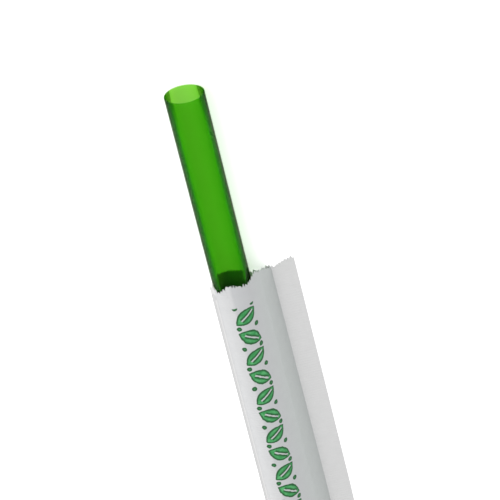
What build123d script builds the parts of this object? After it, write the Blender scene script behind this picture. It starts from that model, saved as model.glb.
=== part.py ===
from build123d import *

import math
import os

# A drinking straw in its paper sleeve, which is torn open at the drinking end.
# Millimetres.  The straw's axis runs along Y with the drinking end at +Y, and +Z is up from the
# table that the sleeve lies on.  While it is built, y = 0 is the straw's rim and x = 0 its axis.

# The straw: an extruded tube, cut square at both ends.
STRAW_DIAMETER = 6.0
STRAW_WALL = 0.2
STRAW_LENGTH = 197.0

# How the straw lies in the sleeve.
EXPOSED = 32.6  # from the rim to the middle of the torn mouth
SLIDE_GAP = 0.15  # all round, between the straw and the paper that hugs it
TAIL_PLAY = 3.0  # from the straw's tail to where the sleeve starts to narrow

# The sleeve: two plies of thin paper, crimped together along both long edges and across the end.
PAPER = 0.08
SEAM = 3.75  # width of the crimped seam, which lies flat as a fin on the right
SLOPE_RUN = 3.15  # from the straw's flank out to where the fin starts
FOLD_OUT = 1.25  # a crease runs down the slope, this far out from the flank
FOLD_RISE = 0.2  # and this far above the straw's axis
SPREAD = 0.6  # the fin wanders outwards by this much
SPREAD_LENGTH = 45.0  # over this length from the mouth
JOIN_ANGLE = 158.0  # degrees round the straw from +X, where the left seam still holds
LIP = 0.6  # what holds of the left seam stands out as a narrow lip
LIP_ANGLE = 190.0  # degrees from +X
CORNER = 1.9  # radius of the lower left corner, under the opened seam
TAPER = 14.0  # from the round pocket to the flat end
END_SEAL = 9.0

# The torn mouth.
TOOTH_PITCH = 0.5
TOOTH_DEPTH = 0.24
TOOTH_EVENNESS = 0.6  # at 1 every tooth has the full depth
TOOTH_RHYTHM = 2.3  # radians from one flank to the next, so that uneven teeth don't repeat
TORN_OFF = 2.0  # the sleeve is made this much too long, and then torn
CLEAR = 1.0  # how far the tearing tool reaches past the paper

POCKET_RADIUS = STRAW_DIAMETER / 2 + SLIDE_GAP
SKIN_RADIUS = POCKET_RADIUS + PAPER
AXIS_Z = PAPER + POCKET_RADIUS
TAIL_Y = -STRAW_LENGTH - TAIL_PLAY
MOUTH_Y = -EXPOSED
FLAT_Y = TAIL_Y - TAPER
END_Y = FLAT_Y - END_SEAL


def on_circle(radius, degrees):
    """A point (x, z) on a circle about the straw's axis."""
    angle = math.radians(degrees)
    return (radius * math.cos(angle), AXIS_Z + radius * math.sin(angle))


def direction(start, end):
    length = math.dist(start, end)
    return ((end[0] - start[0]) / length, (end[1] - start[1]) / length)


def shifted(point, along, distance):
    return (point[0] + along[0] * distance, point[1] + along[1] * distance)


def mitre(before, corner, after, thickness):
    """The corner of a sheet's other side, which lies to the right of the way it is walked."""
    first = direction(before, corner)
    second = direction(corner, after)
    normals = [(first[1], -first[0]), (second[1], -second[0])]
    share = 1 + normals[0][0] * normals[1][0] + normals[0][1] * normals[1][1]
    both = (normals[0][0] + normals[1][0], normals[0][1] + normals[1][1])
    return shifted(corner, both, thickness / share)


def lip_root(join, lip_way, normal):
    """Where the lip's outside leaves the paper that hugs the straw."""
    x, z = shifted(join, normal, PAPER)
    z -= AXIS_Z
    along = x * lip_way[0] + z * lip_way[1]
    reach = math.sqrt(along**2 - x**2 - z**2 + SKIN_RADIUS**2) - along
    return shifted((x, z + AXIS_Z), lip_way, reach)


def walk(sides, vias):
    """The closed outline of a ply's section.  sides are its inner and outer corners from the fin's
    free edge to the lip, and vias the point that each round span passes through, by its number."""
    inner, outer = sides
    edges = []
    for side, via in zip((inner, outer), vias):
        for span, (start, end) in enumerate(zip(side, side[1:])):
            if span in via:
                edges.append(ThreePointArc(start, via[span], end))
            else:
                edges.append(Line(start, end))
    edges.append(Line(inner[0], outer[0]))
    edges.append(Line(inner[-1], outer[-1]))
    return edges


def section(y, sides, vias):
    """A ply's section as a face at y."""
    plane = Plane(origin=(0, y, 0), x_dir=(1, 0, 0), z_dir=(0, -1, 0))
    return plane * make_face(walk(sides, vias))


def fold_tangent(fold):
    """The angle at which the slope's upper facet leaves the straw."""
    x, z = fold[0], fold[1] - AXIS_Z
    return math.degrees(math.atan2(z, x) + math.acos(POCKET_RADIUS / math.hypot(x, z)))


def lip_points():
    """The join and the end of the lip, on the face that the two plies share, and the lip's way."""
    join = on_circle(POCKET_RADIUS, JOIN_ANGLE)
    angle = math.radians(LIP_ANGLE)
    lip_way = (math.cos(angle), math.sin(angle))
    return join, shifted(join, lip_way, LIP), lip_way


def front_round(spread):
    """The front ply over the straw: fin, slope with its crease, round top and lip."""
    foot = (POCKET_RADIUS + SLOPE_RUN + spread, PAPER)
    edge = (foot[0] + SEAM, PAPER)
    fold = (POCKET_RADIUS + FOLD_OUT + spread / 2, AXIS_Z + FOLD_RISE)
    leave = fold_tangent(fold)
    middle = (leave + JOIN_ANGLE) / 2
    touch = on_circle(POCKET_RADIUS, leave)
    join, lip_end, lip_way = lip_points()
    outward = (lip_way[1], -lip_way[0])
    inner = [edge, foot, fold, touch, join, lip_end]
    outer = [
        shifted(edge, (0, 1), PAPER),
        mitre(edge, foot, fold, PAPER),
        mitre(foot, fold, touch, PAPER),
        on_circle(SKIN_RADIUS, leave),
        lip_root(join, lip_way, outward),
        shifted(lip_end, outward, PAPER),
    ]
    vias = ({3: on_circle(POCKET_RADIUS, middle)}, {3: on_circle(SKIN_RADIUS, middle)})
    lengths = [math.dist(a, b) for a, b in zip(inner, inner[1:])]
    lengths[3] = math.radians(JOIN_ANGLE - leave) * POCKET_RADIUS
    return (inner, outer), vias, lengths


def back_round(spread):
    """The back ply under the straw: flat on the table, round the lower left corner, up to the lip."""
    edge = (POCKET_RADIUS + SLOPE_RUN + spread + SEAM, PAPER)
    centre = (CORNER - POCKET_RADIUS, PAPER + CORNER)
    join, lip_end, lip_way = lip_points()
    outward = (-lip_way[1], lip_way[0])
    flank = 180.0
    middle = (flank + JOIN_ANGLE) / 2
    inner = [
        edge,
        (centre[0], PAPER),
        (-POCKET_RADIUS, centre[1]),
        on_circle(POCKET_RADIUS, flank),
        join,
        lip_end,
    ]
    outer = [
        (edge[0], 0),
        (centre[0], 0),
        (-SKIN_RADIUS, centre[1]),
        on_circle(SKIN_RADIUS, flank),
        lip_root(join, lip_way, outward),
        shifted(lip_end, outward, PAPER),
    ]
    slant = math.sqrt(0.5)
    vias = (
        {
            1: shifted(centre, (-slant, -slant), CORNER),
            3: on_circle(POCKET_RADIUS, middle),
        },
        {
            1: shifted(centre, (-slant, -slant), CORNER + PAPER),
            3: on_circle(SKIN_RADIUS, middle),
        },
    )
    lengths = [math.dist(a, b) for a, b in zip(inner, inner[1:])]
    lengths[1] = math.radians(90) * CORNER
    lengths[3] = math.radians(flank - JOIN_ANGLE) * POCKET_RADIUS
    return (inner, outer), vias, lengths


def flat_sides(edge_x, lengths, outside_z):
    """A ply pressed flat: the same corners, laid out leftwards from the fin's free edge."""
    places = [edge_x]
    for length in lengths:
        places.append(places[-1] - length)
    return [(x, PAPER) for x in places], [(x, outside_z) for x in places]


def ply(shape, outside_z, flat_reach):
    """One ply from past the mouth to the flat end.  flat_reach is how much of the flat width lies
    between the fin's free edge and the lip."""
    mouth, mouth_vias, _ = shape(0)
    spread, spread_vias, lengths = shape(SPREAD)
    held = sum(lengths[:-1])
    spans = [length * flat_reach / held for length in lengths[:-1]] + [LIP]
    flat = flat_sides(spread[0][0][0], spans, outside_z)
    no_arcs = ({}, {})
    sections = [
        section(MOUTH_Y + TORN_OFF, mouth, mouth_vias),
        section(MOUTH_Y - SPREAD_LENGTH, spread, spread_vias),
        section(TAIL_Y, spread, spread_vias),
        section(FLAT_Y, flat, no_arcs),
        section(END_Y, flat, no_arcs),
    ]
    return loft(sections, ruled=True)


def torn_line(base, left, right):
    """The jagged line of a tear: base gives (x, y) from left to right, and the teeth stand on it."""
    count = round((right - left) / (TOOTH_PITCH / 2))
    line = []
    for number in range(count + 1):
        x = left + (right - left) * number / count
        for (x0, y0), (x1, y1) in zip(base, base[1:]):
            if x0 <= x <= x1:
                y = y0 + (y1 - y0) * (x - x0) / (x1 - x0)
        share = TOOTH_EVENNESS + (1 - TOOTH_EVENNESS) * math.sin(TOOTH_RHYTHM * number)
        side = 0.5 if number % 2 else -0.5
        line.append((x, MOUTH_Y + y + side * TOOTH_DEPTH * share))
    return line


def tearing_tool(base):
    """What the tear takes off: everything on the drinking side of its line."""
    left, right = base[0][0], base[-1][0]
    line = torn_line(base, left, right)
    beyond = MOUTH_Y + TORN_OFF + CLEAR
    outline = Polyline(*line, (right, beyond), (left, beyond), close=True)
    height = CLEAR + AXIS_Z + SKIN_RADIUS + CLEAR
    return extrude(Pos(0, 0, -CLEAR) * make_face(outline), height)


def tear_bases():
    """The course of each ply's tear, as (x, y from the middle of the mouth).  On the fin the two
    plies are torn as one."""
    foot = POCKET_RADIUS + SLOPE_RUN
    left = -SKIN_RADIUS - LIP - CLEAR
    right = foot + SEAM + CLEAR
    fin = [(foot + 0.3, -1.2), (foot + 0.6 * SEAM, -0.6), (foot + SEAM, 0.0), (right, 0.1)]
    front = [
        (left, 0.6),
        (-SKIN_RADIUS, 0.6),
        (-0.75 * SKIN_RADIUS, -0.4),
        (-0.3 * SKIN_RADIUS, 0.8),
        (0.7 * SKIN_RADIUS, 0.1),
        (SKIN_RADIUS + 0.4, 1.1),
        (SKIN_RADIUS + FOLD_OUT, 0.5),
    ]
    back = [
        (left, -0.9),
        (-SKIN_RADIUS, -0.9),
        (-0.5 * SKIN_RADIUS, 0.1),
        (0.4 * SKIN_RADIUS, -0.2),
        (SKIN_RADIUS, -1.1),
    ]
    return front + fin, back + fin


def make_straw():
    plane = Plane(origin=(0, 0, AXIS_Z), x_dir=(1, 0, 0), z_dir=(0, -1, 0))
    ring = Circle(STRAW_DIAMETER / 2) - Circle(STRAW_DIAMETER / 2 - STRAW_WALL)
    return extrude(plane * ring, STRAW_LENGTH)


def make_plies():
    """Both plies of the sleeve, which meet face to face on the fin, at the lip and at the end."""
    _, _, lengths = front_round(SPREAD)
    flat_reach = sum(lengths[:-1])
    front_base, back_base = tear_bases()
    front = ply(front_round, 2 * PAPER, flat_reach) - tearing_tool(front_base)
    back = ply(back_round, 0, flat_reach) - tearing_tool(back_base)
    return front, back


def main():
    front, back = make_plies()
    nodes = {"straw": make_straw(), "front_ply": front, "back_ply": back}
    box = Compound(list(nodes.values())).bounding_box()
    # The origin is the centre of the object's base.
    place = Pos(-box.center().X, -box.center().Y, -box.min.Z)
    os.makedirs("parts", exist_ok=True)
    for name, shape in nodes.items():
        moved = place * shape
        moved.label = name
        export_step(moved, f"parts/{name}.step")
        size = moved.bounding_box()
        print(name, "low", size.min, "high", size.max)
    print("straw axis at x", round(-box.center().X, 4), "z", round(AXIS_Z, 4))
    print("rim at y", round(-box.center().Y, 4))


main()
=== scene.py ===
import math

import bpy
from mathutils import Matrix, Vector, noise


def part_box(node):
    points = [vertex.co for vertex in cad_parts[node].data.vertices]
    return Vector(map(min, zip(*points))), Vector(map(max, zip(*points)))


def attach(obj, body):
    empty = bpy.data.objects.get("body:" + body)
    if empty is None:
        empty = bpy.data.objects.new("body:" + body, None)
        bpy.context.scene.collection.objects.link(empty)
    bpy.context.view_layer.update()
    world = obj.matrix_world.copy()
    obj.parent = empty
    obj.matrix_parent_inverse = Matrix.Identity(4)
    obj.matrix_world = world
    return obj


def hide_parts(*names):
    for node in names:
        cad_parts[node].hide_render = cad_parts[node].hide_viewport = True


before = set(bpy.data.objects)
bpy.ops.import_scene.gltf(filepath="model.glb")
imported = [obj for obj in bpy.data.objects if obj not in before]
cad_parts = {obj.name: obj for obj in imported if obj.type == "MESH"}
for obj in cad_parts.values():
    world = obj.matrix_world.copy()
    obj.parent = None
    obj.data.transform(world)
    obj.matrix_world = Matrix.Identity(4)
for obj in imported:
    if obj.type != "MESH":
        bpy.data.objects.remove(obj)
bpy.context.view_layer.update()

# A drinking straw in its paper sleeve, torn open at the drinking end.
# Metres.  The straw's axis runs along Y, with the drinking end at +Y, and the table is z = 0.
MM = 0.001

# ---------------------------------------------------------------- places, from the CAD
straw_low, straw_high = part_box("straw")
front_low, front_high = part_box("front_ply")

STRAW_RADIUS = (straw_high.z - straw_low.z) / 2
STRAW_LENGTH = straw_high.y - straw_low.y
AXIS_X = (straw_low.x + straw_high.x) / 2
AXIS_Z = (straw_low.z + straw_high.z) / 2
RIM_Y = straw_high.y
TAIL_Y = straw_low.y - 3 * MM  # the straw can slip this far back before the sleeve narrows
END_Y = front_low.y
FIN_EDGE = front_high.x - AXIS_X

# ---------------------------------------------------------------- the straw
STRAW_WALL = 0.2 * MM
STRAW_SIDES = 128
STRAW_BANDS = 40
RIM_BEVEL = 0.05 * MM
RIM_SKEW = 0.05  # the knife went through a little askew, by this slope
RIM_SKEW_LENGTH = 4 * MM

# ---------------------------------------------------------------- the sleeve
PAPER = 0.08 * MM
PLY_GAP = 0.01 * MM
SLIDE_GAP = 0.15 * MM
SEAM = 3.75 * MM
SLOPE_RUN = 3.15 * MM
FOLD_OUT = 1.25 * MM
FOLD_RISE = 0.2 * MM
SPREAD = 0.6 * MM
SPREAD_LENGTH = 45 * MM
JOIN_ANGLE = 158.0
LIP = 0.6 * MM
LIP_ANGLE = 190.0
CORNER = 1.9 * MM
TAPER = 14 * MM
END_SEAL = 9 * MM
MOUTH_Y = RIM_Y - 32.6 * MM
FLAT_Y = TAIL_Y - TAPER
POCKET_RADIUS = STRAW_RADIUS + SLIDE_GAP
SHEET_LENGTH = MOUTH_Y - END_Y

CRIMP_PITCH = SHEET_LENGTH / 397
CRIMP_CUTS = 3  # new rows between two crimp ridges
CRIMP_HEIGHT = 0.05 * MM
CRIMP_FADE = 0.35 * MM
SLOW_WAVES = 0.05 * MM
QUICK_WAVES = 0.014 * MM
SMOOTH_ANGLE = math.radians(50)
COLUMN_PITCH = 0.62 * MM
BEND_STEPS = (-0.3 * MM, -0.12 * MM, 0.12 * MM, 0.3 * MM)
COLUMN_LEAST = 0.08 * MM  # columns no nearer than this to one beside a bend
BEND_SOFTNESS = 0.13 * MM

# ---------------------------------------------------------------- the tear
TEAR_RELAX = 12 * CRIMP_PITCH  # below this the rows of the sheet are straight again
TOOTH_BAND = 3 * CRIMP_PITCH
TOOTH_CUTS = 5
TOOTH_PITCH = 0.52 * MM
TOOTH_DEPTH = 0.62 * MM
FRAY_DEPTH = 0.09 * MM
# The course of each ply's tear: millimetres from the straw's axis, and past the mouth's middle.
FRONT_TEAR = [
    (-3.6, 0.4), (-3.0, 0.4), (-2.45, -0.5), (-1.9, 0.0), (-0.9, 0.9), (0.0, 0.75), (0.9, 0.45),
    (2.1, 0.05), (2.5, 0.1), (2.9, 0.4), (3.65, 1.1), (4.5, 0.45), (4.9, 0.3),
]
BACK_TEAR = [
    (-3.6, -0.9), (-2.8, -1.1), (-2.4, -0.6), (-1.9, -0.2), (0.0, -0.05), (1.1, -0.4), (2.3, -0.7),
    (2.8, -1.4), (3.7, -1.1), (4.6, -1.4),
]
FIN_TEAR = [
    (5.8, -0.9), (6.8, -1.4), (7.8, -0.95), (8.5, -0.6), (9.2, -0.55), (9.6, -0.3), (10.1, -0.8),
]


def clamp(value):
    return min(max(value, 0.0), 1.0)


def smooth(value):
    share = clamp(value)
    return share * share * (3 - 2 * share)


def unselect():
    bpy.ops.object.select_all(action="DESELECT")


def activate(piece):
    unselect()
    piece.select_set(True)
    bpy.context.view_layer.objects.active = piece


def apply_modifier(piece, kind, **settings):
    activate(piece)
    modifier = piece.modifiers.new(kind.lower(), kind)
    for name, value in settings.items():
        setattr(modifier, name, value)
    bpy.ops.object.modifier_apply(modifier=modifier.name)


# ---------------------------------------------------------------- sections of the plies
# A section is walked from the fin's free edge, over or under the straw, to the end of the lip.
# It is a list of spans, each a straight run or an arc, with points (x from the axis, z).


def on_circle(radius, degrees):
    angle = math.radians(degrees)
    return Vector((radius * math.cos(angle), AXIS_Z + radius * math.sin(angle)))


class Run:
    """A straight span of a section."""

    def __init__(self, start, end):
        self.start = Vector(start)
        self.end = Vector(end)
        self.length = (self.end - self.start).length

    def at(self, distance):
        return self.start + (self.end - self.start) * (distance / self.length)


class Arc:
    """A round span of a section, about a centre, between two angles in degrees."""

    def __init__(self, centre, radius, start, end):
        self.centre = Vector(centre)
        self.radius = radius
        self.start = math.radians(start)
        self.turn = math.radians(end - start)
        self.length = abs(self.turn) * radius

    def at(self, distance):
        angle = self.start + self.turn * distance / self.length
        return self.centre + Vector((math.cos(angle), math.sin(angle))) * self.radius


def lip_run():
    join = on_circle(POCKET_RADIUS, JOIN_ANGLE)
    angle = math.radians(LIP_ANGLE)
    return Run(join, join + Vector((math.cos(angle), math.sin(angle))) * LIP)


def front_section(spread):
    foot = Vector((POCKET_RADIUS + SLOPE_RUN + spread, PAPER))
    edge = foot + Vector((SEAM, 0))
    fold = Vector((POCKET_RADIUS + FOLD_OUT + spread / 2, AXIS_Z + FOLD_RISE))
    rise = fold - Vector((0, AXIS_Z))
    leave = math.degrees(math.atan2(rise.y, rise.x) + math.acos(POCKET_RADIUS / rise.length))
    touch = on_circle(POCKET_RADIUS, leave)
    return [
        Run(edge, foot),
        Run(foot, fold),
        Run(fold, touch),
        Arc((0, AXIS_Z), POCKET_RADIUS, leave, JOIN_ANGLE),
        lip_run(),
    ]


def back_section(spread):
    edge = (POCKET_RADIUS + SLOPE_RUN + spread + SEAM, PAPER)
    centre = (CORNER - POCKET_RADIUS, PAPER + CORNER)
    return [
        Run(edge, (centre[0], PAPER)),
        Arc(centre, CORNER, -90, -180),
        Run((-POCKET_RADIUS, centre[1]), (-POCKET_RADIUS, AXIS_Z)),
        Arc((0, AXIS_Z), POCKET_RADIUS, 180, JOIN_ANGLE),
        lip_run(),
    ]


class Ply:
    """One ply: its sections, its flat size, and where each of its points lies."""

    def __init__(self, section, side, tear, seed):
        self.section = section
        self.side = side  # 1 for the ply on top, whose outside is up, and -1 for the one below
        self.tear = tear
        self.seed = seed
        self.flat = section(SPREAD)
        self.width = sum(span.length for span in self.flat)
        self.held = self.width - LIP
        self.cache = {}

    def bends(self):
        """Where the sheet is creased, across its width."""
        places = []
        across = 0.0
        for span in self.flat[:-1]:
            across += span.length
            places.append(across)
        return places

    def spans(self, spread):
        key = round(spread / MM, 4)
        if key not in self.cache:
            self.cache[key] = self.section(spread)
        return self.cache[key]

    def round_point(self, across, spread):
        """The inside of the ply, this far across, where it goes round the straw."""
        left = min(max(across, 0.0), self.width)
        for flat, span in zip(self.flat, self.spans(spread)):
            if left <= flat.length or span is self.spans(spread)[-1]:
                return span.at(left / flat.length * span.length)
            left -= flat.length

    def soft_point(self, across, spread):
        """The same, with every crease rounded off a little."""
        before = self.round_point(across - BEND_SOFTNESS, spread)
        after = self.round_point(across + BEND_SOFTNESS, spread)
        middle = self.round_point(across, spread)
        if across < BEND_SOFTNESS or across > self.width - BEND_SOFTNESS:
            return middle, after - before
        return (before + middle * 2 + after) / 4, after - before

    def flat_point(self, across, reach):
        shown = across * reach / self.held if across < self.held else reach + across - self.held
        return Vector((FIN_EDGE - shown, PAPER))


FRONT = Ply(front_section, 1, FRONT_TEAR + FIN_TEAR, 3.0)
BACK = Ply(back_section, -1, BACK_TEAR + FIN_TEAR, 11.0)
FLAT_REACH = FRONT.held


def course(points, x):
    """How far past the mouth's middle a tear runs, this far from the straw's axis."""
    place = x / MM
    if place <= points[0][0]:
        return points[0][1] * MM
    for (x0, y0), (x1, y1) in zip(points, points[1:]):
        if place <= x1:
            return (y0 + (y1 - y0) * (place - x0) / (x1 - x0)) * MM
    return points[-1][1] * MM


def noise_at(x, y, seed):
    return noise.noise(Vector((x, y, seed)))


def tooth(across, seed):
    """The torn edge's teeth: uneven ones at the crimp's pitch, and the fray between them."""
    place = across / TOOTH_PITCH + 0.6 * noise_at(across / MM * 0.9, 0.0, seed)
    wave = abs((place % 1.0) * 2 - 1) - 0.5
    depth = TOOTH_DEPTH * (0.75 + 0.9 * noise_at(across / MM * 1.3, 5.0, seed))
    fray = FRAY_DEPTH * noise_at(across / MM * 6.0, 9.0, seed)
    return wave * depth + fray


def crimp(ply, across, y):
    """The height of the crimped seam's ridges, which both plies share."""
    from_fin = SEAM - across
    from_lip = across - (ply.width - SEAM)
    from_end = (END_Y + END_SEAL) - y
    inside = max(from_fin, from_lip, from_end)
    strength = smooth(inside / CRIMP_FADE + 0.5)
    if strength == 0.0:
        return 0.0
    uneven = 0.75 + 0.6 * noise_at(across / MM * 0.25, y / MM * 0.12, 21.0)
    ridge = 0.5 + 0.5 * math.cos(2 * math.pi * (MOUTH_Y - y) / CRIMP_PITCH)
    return CRIMP_HEIGHT * strength * clamp(uneven) * ridge


def relief(ply, across, y):
    """How far the loose paper lifts off its plain shape, away from the straw."""
    loose = smooth((across - SEAM) / (1.5 * MM)) * smooth((ply.held - across) / (1.5 * MM))
    slow = noise_at(across / MM * 0.22, y / MM * 0.09, ply.seed)
    quick = noise_at(across / MM * 0.6, y / MM * 0.35, ply.seed + 4)
    return loose * (SLOW_WAVES * (slow + 0.3) + QUICK_WAVES * quick)


def lie(ply, across, down):
    """Where a point of the flat sheet lies: across from the fin's free edge, down from the mouth."""
    edge_x = ply.round_point(across, 0.0).x
    relax = clamp(1 - down / TEAR_RELAX) ** 2
    y = MOUTH_Y - down + course(ply.tear, edge_x) * relax
    y += tooth(across, ply.seed) * clamp(1 - down / TOOTH_BAND)
    spread = SPREAD * clamp((MOUTH_Y + 2 * MM - y) / (SPREAD_LENGTH + 2 * MM))
    point, way = ply.soft_point(across, spread)
    out = Vector((way.y, -way.x)).normalized() * ply.side
    up = out * ply.side
    flat = smooth((TAIL_Y - y) / TAPER)
    point = point + out * relief(ply, across, y) * (1 - flat)
    if flat > 0:
        point = point.lerp(ply.flat_point(across, FLAT_REACH), flat)
        up = up.lerp(Vector((0, 1)), flat).normalized()
    point = point + up * crimp(ply, across, y)
    if ply.side < 0:
        point = point - up * PLY_GAP
    return Vector((AXIS_X + point.x, y, point.y))


def columns(ply):
    """Places across the sheet: evenly spread, and closer at each crease."""
    bends = ply.bends()
    places = [0.0]
    for bend, before in zip(bends + [ply.width], [0.0] + bends):
        count = max(1, round((bend - before) / COLUMN_PITCH))
        for number in range(1, count + 1):
            places.append(before + (bend - before) * number / count)
    for bend in bends[:-1]:
        for step in BEND_STEPS:
            near = bend + step
            places = [place for place in places if place == bend or abs(place - near) > COLUMN_LEAST]
            places.append(near)
    return sorted(places)


def flat_sheet(name, ply):
    """The ply as a flat sheet: x across from the fin's free edge, y down from the mouth."""
    across = columns(ply)
    rows = round(SHEET_LENGTH / CRIMP_PITCH)
    unselect()
    bpy.ops.mesh.primitive_grid_add(x_subdivisions=len(across) - 1, y_subdivisions=rows, size=2)
    sheet = bpy.context.object
    sheet.name = name
    for vertex in sheet.data.vertices:
        column = round((vertex.co.x + 1) / 2 * (len(across) - 1))
        row = round((vertex.co.y + 1) / 2 * rows)
        vertex.co = (across[column], row * CRIMP_PITCH, 0)
    return sheet


def subdivide_where(sheet, wanted, cuts):
    """Cuts the edges for which wanted(start, end) is true."""
    activate(sheet)
    bpy.ops.object.mode_set(mode="EDIT")
    bpy.ops.mesh.select_mode(type="EDGE")
    bpy.ops.mesh.select_all(action="DESELECT")
    bpy.ops.object.mode_set(mode="OBJECT")
    vertices = sheet.data.vertices
    for edge in sheet.data.edges:
        start, end = (vertices[number].co for number in edge.vertices)
        edge.select = wanted(start, end)
    bpy.ops.object.mode_set(mode="EDIT")
    bpy.ops.mesh.subdivide(number_cuts=cuts, ngon=False)
    bpy.ops.object.mode_set(mode="OBJECT")


def make_ply(name, ply, inside_slots):
    """Cuts, tears, crimps and lays one ply, and gives it its thickness."""
    sheet = flat_sheet(name, ply)
    tiny = 0.01 * MM

    def along(start, end):
        middle = (start + end) / 2
        crimped = (
            middle.x < SEAM + CRIMP_FADE
            or middle.x > ply.width - SEAM - CRIMP_FADE
            or middle.y > SHEET_LENGTH - END_SEAL - CRIMP_PITCH
            or middle.y < TOOTH_BAND
        )
        return abs(start.x - end.x) < tiny and crimped

    def at_mouth(start, end):
        return abs(start.y - end.y) < tiny and (start.y + end.y) / 2 < TOOTH_BAND - tiny

    subdivide_where(sheet, along, CRIMP_CUTS)
    subdivide_where(sheet, at_mouth, TOOTH_CUTS)
    layer = sheet.data.uv_layers[0] if sheet.data.uv_layers else sheet.data.uv_layers.new()
    layer.name = "flat"
    laid = []
    flat = []
    for vertex in sheet.data.vertices:
        place = lie(ply, vertex.co.x, vertex.co.y)
        flat.append((vertex.co.x / MM, (MOUTH_Y - place.y) / MM))
        laid.append(place)
    for loop in sheet.data.loops:
        layer.data[loop.index].uv = flat[loop.vertex_index]
    for vertex, place in zip(sheet.data.vertices, laid):
        vertex.co = place
    activate(sheet)
    bpy.ops.object.mode_set(mode="EDIT")
    bpy.ops.mesh.select_all(action="SELECT")
    if ply.side > 0:
        bpy.ops.mesh.flip_normals()
    bpy.ops.object.mode_set(mode="OBJECT")
    thickness = PAPER if ply.side > 0 else PAPER - PLY_GAP
    apply_modifier(
        sheet, "SOLIDIFY", thickness=thickness, offset=1.0, use_rim=True, material_offset=inside_slots
    )
    bpy.ops.object.shade_smooth_by_angle(angle=SMOOTH_ANGLE)
    return sheet


# ---------------------------------------------------------------- materials
# Sizes in the materials of the paper are millimetres on the flat sheet.


class Socket:
    """A node's output, with arithmetic that adds Math nodes."""

    def __init__(self, finish, output):
        self.finish = finish
        self.output = output

    def _math(self, operation, *values):
        return self.finish.node("Math", {"operation": operation}, dict(enumerate(values)))

    def __add__(self, other):
        return self._math("ADD", self, other)

    def __radd__(self, other):
        return self._math("ADD", other, self)

    def __sub__(self, other):
        return self._math("SUBTRACT", self, other)

    def __rsub__(self, other):
        return self._math("SUBTRACT", other, self)

    def __mul__(self, other):
        return self._math("MULTIPLY", self, other)

    def __rmul__(self, other):
        return self._math("MULTIPLY", other, self)

    def __truediv__(self, other):
        return self._math("DIVIDE", self, other)

    def __rtruediv__(self, other):
        return self._math("DIVIDE", other, self)

    def __mod__(self, other):
        return self._math("FLOORED_MODULO", self, other)

    def __abs__(self):
        return self._math("ABSOLUTE", self)

    def floor(self):
        return self._math("FLOOR", self)

    def root(self):
        return self._math("SQRT", self)

    def least(self, other):
        return self._math("MINIMUM", self, other)

    def most(self, other):
        return self._math("MAXIMUM", self, other)

    def step(self, low, high):
        """0 below low, 1 above high, and smooth between; the other way round if low is higher."""
        ends = {1: low, 2: high, 3: 0.0, 4: 1.0}
        if low > high:
            ends = {1: high, 2: low, 3: 1.0, 4: 0.0}
        settings = {"interpolation_type": "SMOOTHSTEP"}
        return self.finish.node("MapRange", settings, {0: self, **ends})


class Finish:
    """A material while it is made."""

    def __init__(self, name):
        self.material = bpy.data.materials.new(name)
        self.material.use_nodes = True
        self.tree = self.material.node_tree
        self.tree.nodes.clear()
        self.output = self.tree.nodes.new("ShaderNodeOutputMaterial")

    def node(self, kind, settings=None, inputs=None, out=0):
        """Adds a node: its settings first, then its inputs, by name or number."""
        made = self.tree.nodes.new("ShaderNode" + kind)
        for name, value in (settings or {}).items():
            setattr(made, name, value)
        for name, value in (inputs or {}).items():
            socket = made.inputs[name]
            if isinstance(value, Socket):
                self.tree.links.new(value.output, socket)
            elif isinstance(value, tuple) and len(value) == 3 and socket.type == "RGBA":
                socket.default_value = (*value, 1.0)
            else:
                socket.default_value = value
        return Socket(self, made.outputs[out])

    def mix(self, factor, first, second):
        """A mix of two colours."""
        return self.node("Mix", {"data_type": "RGBA"}, {0: factor, 6: first, 7: second}, 2)

    def noise(self, place, scale, detail=2.0, roughness=0.5):
        inputs = {"Vector": place, "Scale": scale, "Detail": detail, "Roughness": roughness}
        return self.node("TexNoise", {}, inputs)

    def stretched(self, place, scale):
        return self.node("Mapping", {"vector_type": "POINT"}, {"Vector": place, "Scale": scale})

    def finish(self, shader, volume=None):
        self.tree.links.new(shader.output, self.output.inputs["Surface"])
        if volume is not None:
            self.tree.links.new(volume.output, self.output.inputs["Volume"])
        return self.material


# Painted light and shade on the thin paper: where it lies on the glowing floor it is painted lighter,
# as if the floor shone through it, and over the straw and the hollow beside it darker, as if these
# shaded it from behind.
PAPER_PAINTED_BACKLIGHT = (0.84, 0.835, 0.835)
PAPER_PAINTED_STRAW_SHADE = (0.60, 0.61, 0.62)
PAPER_PAINTED_HOLLOW_SHADE = (0.60, 0.63, 0.62)
PAPER_INSIDE = (0.72, 0.72, 0.72)
PAPER_MOTTLE = 0.08  # how far the fibres lighten and darken it
PAPER_SHINE = 0.25
PRINT_FILL = (0.03, 0.30, 0.075)
PRINT_LIGHT = (0.11, 0.47, 0.17)
PRINT_EDGE = (0.012, 0.12, 0.028)
PRINT_START = 3.2
PRINT_END = 172.0
PRINT_PITCH = 3.8
PRINT_TILT = 33.0
LEAF_LENGTH = 2.1
LEAF_WIDTH = 1.3
LEAF_RIB = 0.09
DOT_SIDE = 1.45
DOT_RADIUS = 0.42
PRINT_MIDDLE = 1.45  # from where the paper leaves the slope to the middle of the print
INK_WANDER = 0.24


def paper_grain(finish, flat, base):
    """Fibres and the cloudy look of thin paper, on a base colour."""
    cloud = finish.noise(flat, 0.7, 3.0)
    fibre = finish.noise(finish.stretched(flat, (5.0, 1.6, 1.0)), 2.0, 4.0, 0.6)
    tone = (cloud - 0.5) * PAPER_MOTTLE + (fibre - 0.5) * PAPER_MOTTLE
    settings = {"data_type": "RGBA", "blend_type": "MULTIPLY"}
    shade = finish.node("Mix", settings, {0: 1.0, 6: base, 7: grey(finish, tone + 1.0)}, 2)
    height = fibre * 0.6 + finish.noise(flat, 9.0, 2.0) * 0.4
    bump = finish.node(
        "Bump", {}, {"Strength": 0.25, "Distance": 0.02 * MM, "Height": height}
    )
    return shade, bump, fibre


def grey(finish, value):
    return finish.node("CombineColor", {"mode": "RGB"}, {0: value, 1: value, 2: value})


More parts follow.
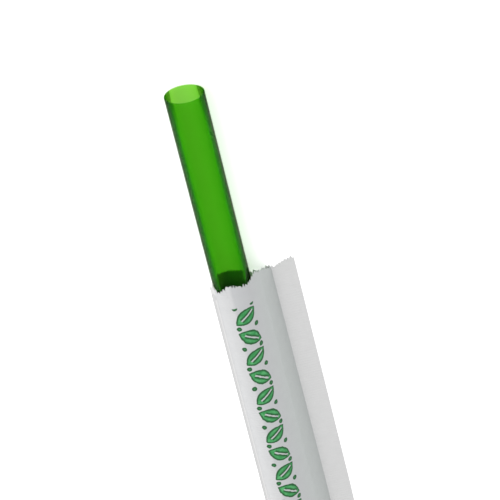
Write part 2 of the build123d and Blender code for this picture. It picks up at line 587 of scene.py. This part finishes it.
def print_masks(finish, across, down, middle):
    """A plain column of leaves, tilted one way and the other.  Gives the ink and its dark edge."""
    row = (down - PRINT_START) / PRINT_PITCH
    cell = row.floor()
    along = (row - cell - 0.5) * PRINT_PITCH
    side = across - middle
    turn = 1.0 - (cell % 2.0) * 2.0
    cosine = math.cos(math.radians(PRINT_TILT))
    sine = math.sin(math.radians(PRINT_TILT))
    length = side * cosine + along * turn * sine
    width = abs(along * cosine - side * turn * sine)
    share = length / LEAF_LENGTH
    depth = (1.0 - share * share) * LEAF_WIDTH - width
    rib = (width - LEAF_RIB).step(0.0, 0.06)
    rib_end = abs(length + 0.2).step(1.15, 1.3)
    leaf = depth.step(-0.02, 0.05)
    dot_x = abs(side) - DOT_SIDE
    dot_y = abs(along) - PRINT_PITCH / 2
    dot_depth = DOT_RADIUS - (dot_x * dot_x + dot_y * dot_y).root()
    dot = dot_depth.step(-0.02, 0.05)
    ink = (leaf * rib.most(rib_end)).most(dot)
    inner = depth.least((width - LEAF_RIB).most(rib_end)).most(dot_depth)
    edge = inner.step(0.4, 0.24)
    within = down.step(PRINT_START - 0.05, PRINT_START) * down.step(PRINT_END, PRINT_END - 0.05)
    return ink * within, edge, inner


def make_printed_paper(ply):
    finish = Finish("printed_paper")
    flat = finish.node("UVMap", {"uv_map": "flat"})
    across = finish.node("SeparateXYZ", {}, {0: flat})
    down = Socket(finish, across.output.node.outputs[1])
    foot, fold, touch, join = (place / MM for place in ply.bends())
    # Painted shade: past the fin's foot the paper is painted the darker hollow tone.
    hollow_shade_mask = across.step(foot - 0.1, foot + 0.15)
    # Painted shade: over the straw the paper is painted the darker straw tone.
    straw_shade_mask = across.step(fold - 0.3, touch + 0.4)
    painted_light_and_shade = finish.mix(hollow_shade_mask, PAPER_PAINTED_BACKLIGHT, PAPER_PAINTED_HOLLOW_SHADE)
    painted_light_and_shade = finish.mix(straw_shade_mask, painted_light_and_shade, PAPER_PAINTED_STRAW_SHADE)
    # The seam strip over the straw, two plies thick, is painted partway back to the lighter backlit
    # tone; the lip, out over the floor, is painted all the way.
    seam_backlight_share = across.step(join + (LIP - SEAM) / MM - 0.2, join + (LIP - SEAM) / MM + 0.3)
    painted_light_and_shade = finish.mix(seam_backlight_share * 0.35, painted_light_and_shade, PAPER_PAINTED_BACKLIGHT)
    lip = across.step(join - 0.1, join + 0.1)
    painted_light_and_shade = finish.mix(lip, painted_light_and_shade, PAPER_PAINTED_BACKLIGHT)
    shade, bump, fibre = paper_grain(finish, flat, painted_light_and_shade)
    wobble = finish.noise(flat, 1.7, 2.0) * INK_WANDER - INK_WANDER / 2
    middle = touch + PRINT_MIDDLE
    ink, edge, inner = print_masks(finish, across + wobble, down + wobble, middle)
    light = inner.step(0.25, 0.6) * finish.noise(flat, 1.2, 2.0).step(0.35, 0.65)
    colour = finish.mix(light, PRINT_FILL, PRINT_LIGHT)
    colour = finish.mix(edge, colour, PRINT_EDGE)
    cover = ink * (0.9 + fibre * 0.15)
    colour = finish.mix(cover.least(1.0), shade, colour)
    shader = finish.node(
        "BsdfPrincipled",
        {},
        {
            "Base Color": colour,
            "Roughness": 0.82 - ink * 0.25,
            "Normal": bump,
            "Specular IOR Level": PAPER_SHINE,
        },
    )
    return finish.finish(shader)


def make_plain_paper(name, base):
    finish = Finish(name)
    flat = finish.node("UVMap", {"uv_map": "flat"})
    shade, bump, fibre = paper_grain(finish, flat, base)
    shader = finish.node(
        "BsdfPrincipled",
        {},
        {
            "Base Color": shade,
            "Roughness": 0.78 + fibre * 0.1,
            "Normal": bump,
            "Specular IOR Level": PAPER_SHINE,
        },
    )
    return finish.finish(shader)


PLASTIC_CLEAR = (0.978, 0.994, 0.949)
PLASTIC_GLOSS = (0.75, 0.95, 0.6)
PLASTIC_BODY = (0.49, 0.83, 0.01)
PLASTIC_DEPTH = 9800.0
PLASTIC_IOR = 1.25
PLASTIC_SHINE = 0.6


def make_plastic():
    """Clear green plastic: the thicker the wall that light passes, the deeper its green."""
    finish = Finish("green_plastic")
    place = finish.node("TexCoord", {}, {}, 3)
    streaks = finish.noise(finish.stretched(place, (1400.0, 12.0, 1400.0)), 1.0, 3.0)
    bump = finish.node(
        "Bump", {}, {"Strength": 0.15, "Distance": 0.01 * MM, "Height": streaks}
    )
    clear = finish.node("BsdfTransparent", {}, {"Color": PLASTIC_CLEAR})
    gloss = finish.node(
        "BsdfPrincipled",
        {},
        {
            "Base Color": PLASTIC_GLOSS,
            "Metallic": 1.0,
            "Roughness": 0.12 + streaks * 0.1,
            "Normal": bump,
        },
    )
    shine = finish.node("Fresnel", {}, {"IOR": PLASTIC_IOR, "Normal": bump})
    shader = finish.node("MixShader", {}, {0: shine * PLASTIC_SHINE, 1: clear, 2: gloss})
    volume = finish.node(
        "VolumeAbsorption", {}, {"Color": PLASTIC_BODY, "Density": PLASTIC_DEPTH}
    )
    return finish.finish(shader, volume)


# ---------------------------------------------------------------- the straw's tube


def make_straw(material):
    """A thin tube: an open cylinder given its wall, with its lips rounded."""
    unselect()
    middle = (AXIS_X, (straw_low.y + straw_high.y) / 2, AXIS_Z)
    bpy.ops.mesh.primitive_cylinder_add(
        vertices=STRAW_SIDES,
        radius=STRAW_RADIUS,
        depth=STRAW_LENGTH,
        end_fill_type="NOTHING",
        location=middle,
        rotation=(math.radians(90), 0, 0),
    )
    tube = bpy.context.object
    tube.name = "straw_tube"
    bpy.ops.object.transform_apply(location=True, rotation=True, scale=True)
    tiny = 0.01 * MM
    subdivide_where(tube, lambda start, end: abs(start.y - end.y) > tiny, STRAW_BANDS)
    apply_modifier(tube, "SOLIDIFY", thickness=STRAW_WALL, offset=-1.0, use_rim=True)
    apply_modifier(
        tube,
        "BEVEL",
        width=RIM_BEVEL,
        segments=3,
        limit_method="ANGLE",
        angle_limit=math.radians(60),
    )
    for vertex in tube.data.vertices:
        near_rim = smooth(1 - (RIM_Y - vertex.co.y) / RIM_SKEW_LENGTH)
        slope = RIM_SKEW * (vertex.co.x - AXIS_X + STRAW_RADIUS)
        vertex.co.y -= slope * near_rim
    activate(tube)
    bpy.ops.object.shade_smooth()
    tube.data.materials.append(material)
    return tube


# ---------------------------------------------------------------- floor, light and camera

FLOOR_SIZE = 4.0
FLOOR_COLOUR = (0.93, 0.93, 0.93)
FLOOR_GLOW = 0.55
SKY_STRENGTH = 0.62
KEY_POWER = 5.5
KEY_SIZE = 0.7
KEY_PLACE = Vector((-0.45, 0.55, 0.9))
VIEW_LEAN = math.radians(30.93)  # from straight down, towards the drinking end
VIEW_ROLL = math.radians(-13.89)
VIEW_DISTANCE = 301.7 * MM
VIEW_LENS = 144.0
VIEW_AIM = Vector((AXIS_X + 3.81 * MM, RIM_Y - 28.17 * MM, AXIS_Z))


def make_floor():
    unselect()
    bpy.ops.mesh.primitive_plane_add(size=FLOOR_SIZE, location=(0, 0, 0))
    floor = bpy.context.object
    floor.name = "floor"
    finish = Finish("floor")
    facts = {
        "Base Color": FLOOR_COLOUR,
        "Roughness": 0.9,
        "Emission Color": FLOOR_COLOUR,
        "Emission Strength": FLOOR_GLOW,
    }
    shader = finish.node("BsdfPrincipled", {}, facts)
    floor.data.materials.append(finish.finish(shader))


def make_lights():
    world = bpy.data.worlds.new("studio")
    world.use_nodes = True
    background = world.node_tree.nodes["Background"]
    background.inputs["Color"].default_value = (1.0, 1.0, 1.0, 1.0)
    background.inputs["Strength"].default_value = SKY_STRENGTH
    bpy.context.scene.world = world
    light = bpy.data.lights.new("key", "AREA")
    light.energy = KEY_POWER
    light.size = KEY_SIZE
    key = bpy.data.objects.new("key", light)
    key.location = KEY_PLACE
    key.rotation_mode = "QUATERNION"
    key.rotation_quaternion = (VIEW_AIM - KEY_PLACE).to_track_quat("-Z", "Y")
    bpy.context.scene.collection.objects.link(key)


def make_camera():
    back = Vector((0, math.sin(VIEW_LEAN), math.cos(VIEW_LEAN)))
    up = (Vector((0, 1, 0)) - back * back.y).normalized()
    right = up.cross(back)
    turn = Matrix.Rotation(VIEW_ROLL, 3, back)
    axes = Matrix((turn @ right, turn @ up, back)).transposed()
    data = bpy.data.cameras.new("camera")
    data.lens = VIEW_LENS
    data.sensor_width = 36.0
    data.clip_start = 0.01
    data.clip_end = 20.0
    camera = bpy.data.objects.new("camera", data)
    camera.matrix_world = Matrix.Translation(VIEW_AIM + back * VIEW_DISTANCE) @ axes.to_4x4()
    bpy.context.scene.collection.objects.link(camera)
    bpy.context.scene.camera = camera


# ---------------------------------------------------------------- the scene

make_camera()
make_floor()
make_lights()
bpy.context.scene.view_settings.view_transform = "Standard"

straw = make_straw(make_plastic())
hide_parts("straw")
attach(straw, "straw")

inside = make_plain_paper("paper_inside", PAPER_INSIDE)
front = make_ply("sleeve_front", FRONT, 1)
front.data.materials.append(make_printed_paper(FRONT))
front.data.materials.append(inside)
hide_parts("front_ply")
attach(front, "sleeve")

back = make_ply("sleeve_back", BACK, 0)
back.data.materials.append(make_plain_paper("plain_paper", PAPER_INSIDE))
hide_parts("back_ply")
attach(back, "sleeve")
